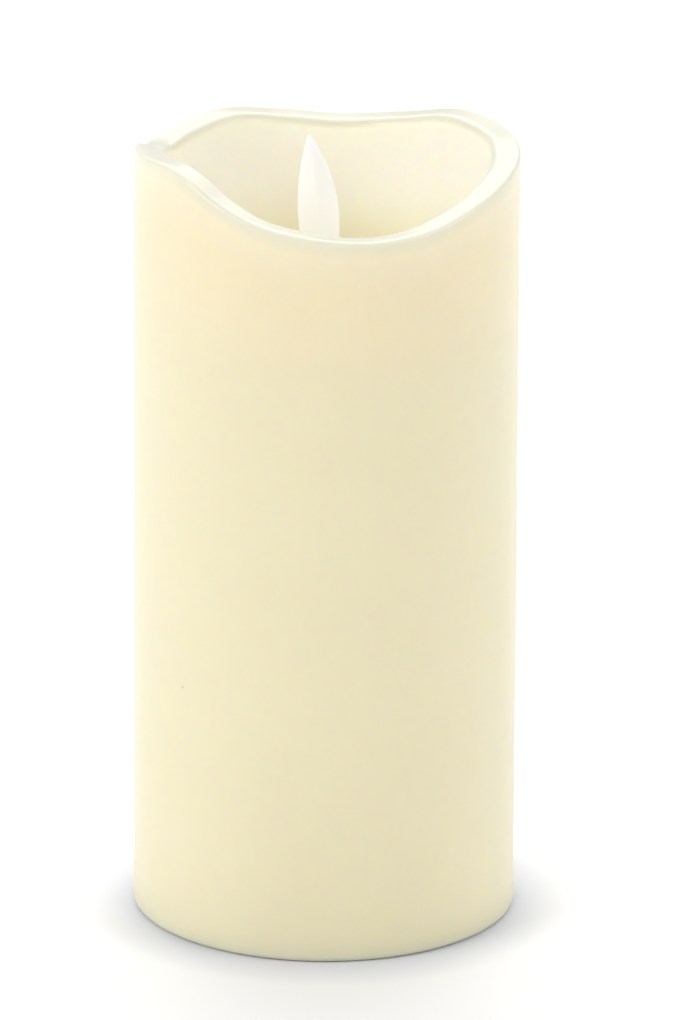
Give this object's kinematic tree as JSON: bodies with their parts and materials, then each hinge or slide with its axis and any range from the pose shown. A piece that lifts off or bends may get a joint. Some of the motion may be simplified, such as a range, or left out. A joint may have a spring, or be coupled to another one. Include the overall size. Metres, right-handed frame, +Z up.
{
  "type": "flameless led candle",
  "caption": "Flameless LED pillar candle: a real-wax shell with a melted wavy rim and bowl, a swinging flame blade on a wire, and a battery base with a hinged door and slide switch.",
  "frame": {"origin": "centre of the ring of wax that the candle stands on", "axes": "+Z up along the pillar, -Y towards the front, the low dip of the rim; the flame swings from left to right, along X"},
  "size_m": [0.075, 0.075, 0.1564],
  "materials": {
    "wax": "satin",
    "core_plastic": "matte",
    "base_plastic": "matte",
    "door_plastic": "matte",
    "flame_plastic": "satin",
    "knob_plastic": "matte",
    "housing_plastic": "satin",
    "bobbin_plastic": "satin",
    "copper_wire": "gloss",
    "steel_wire": "satin",
    "screw_steel": "satin",
    "nickel_plate": "gloss",
    "magnet_nickel": "gloss",
    "cell_jacket": "gloss",
    "lamp_epoxy": "gloss",
    "board_laminate": "satin",
    "chip_epoxy": "matte",
    "capacitor_sleeve": "satin",
    "resistor_ceramic": "matte",
    "switch_steel": "satin",
    "red_insulation": "satin",
    "black_insulation": "satin",
    "yellow_insulation": "satin"
  },
  "bodies": {
    "pillar": {"wax_shell": "wax", "core_tube": "core_plastic", "base_cup": "base_plastic", "base_screws": "screw_steel", "battery_cell_left": "cell_jacket", "battery_cell_right": "cell_jacket", "contact_positive": "nickel_plate", "contact_negative": "nickel_plate", "contact_spring": "nickel_plate", "switch_body": "switch_steel", "switch_terminals": "nickel_plate", "switch_screws": "screw_steel", "housing_front": "housing_plastic", "housing_rear": "housing_plastic", "housing_screws": "screw_steel", "hang_screws": "screw_steel", "pivot_wire": "steel_wire", "coil_bobbin": "bobbin_plastic", "coil_winding": "copper_wire", "led_lamp": "lamp_epoxy", "led_legs": "nickel_plate", "circuit_board": "board_laminate", "board_screws": "screw_steel", "control_chip": "chip_epoxy", "capacitor": "capacitor_sleeve", "transistor": "chip_epoxy", "resistors": "resistor_ceramic", "battery_lead_red": "red_insulation", "battery_lead_black": "black_insulation", "switch_leads": "yellow_insulation", "led_lead_red": "red_insulation", "led_lead_black": "black_insulation", "coil_leads": "copper_wire"},
    "flame": {"flame_blade": "flame_plastic", "flame_magnet": "magnet_nickel"},
    "door": {"battery_door": "door_plastic", "bridge_contact": "nickel_plate", "door_spring": "nickel_plate"},
    "switch": {"switch_knob": "knob_plastic"}
  },
  "joints": [
    {"name": "flame_swing", "type": "hinge", "parent": "pillar", "child": "flame", "pos_m": [0, 0, 0.1121], "axis": [0, 1, 0], "range_deg": [-5.5, 12.5]},
    {"name": "door_hinge", "type": "hinge", "parent": "pillar", "child": "door", "pos_m": [0, 0.01335, 0.0024], "axis": [1, 0, 0], "range_deg": [0, 90]},
    {"name": "switch_slide", "type": "slide", "parent": "pillar", "child": "switch", "axis": [1, 0, 0], "range_m": [-0.002, 0.002]}
  ]
}
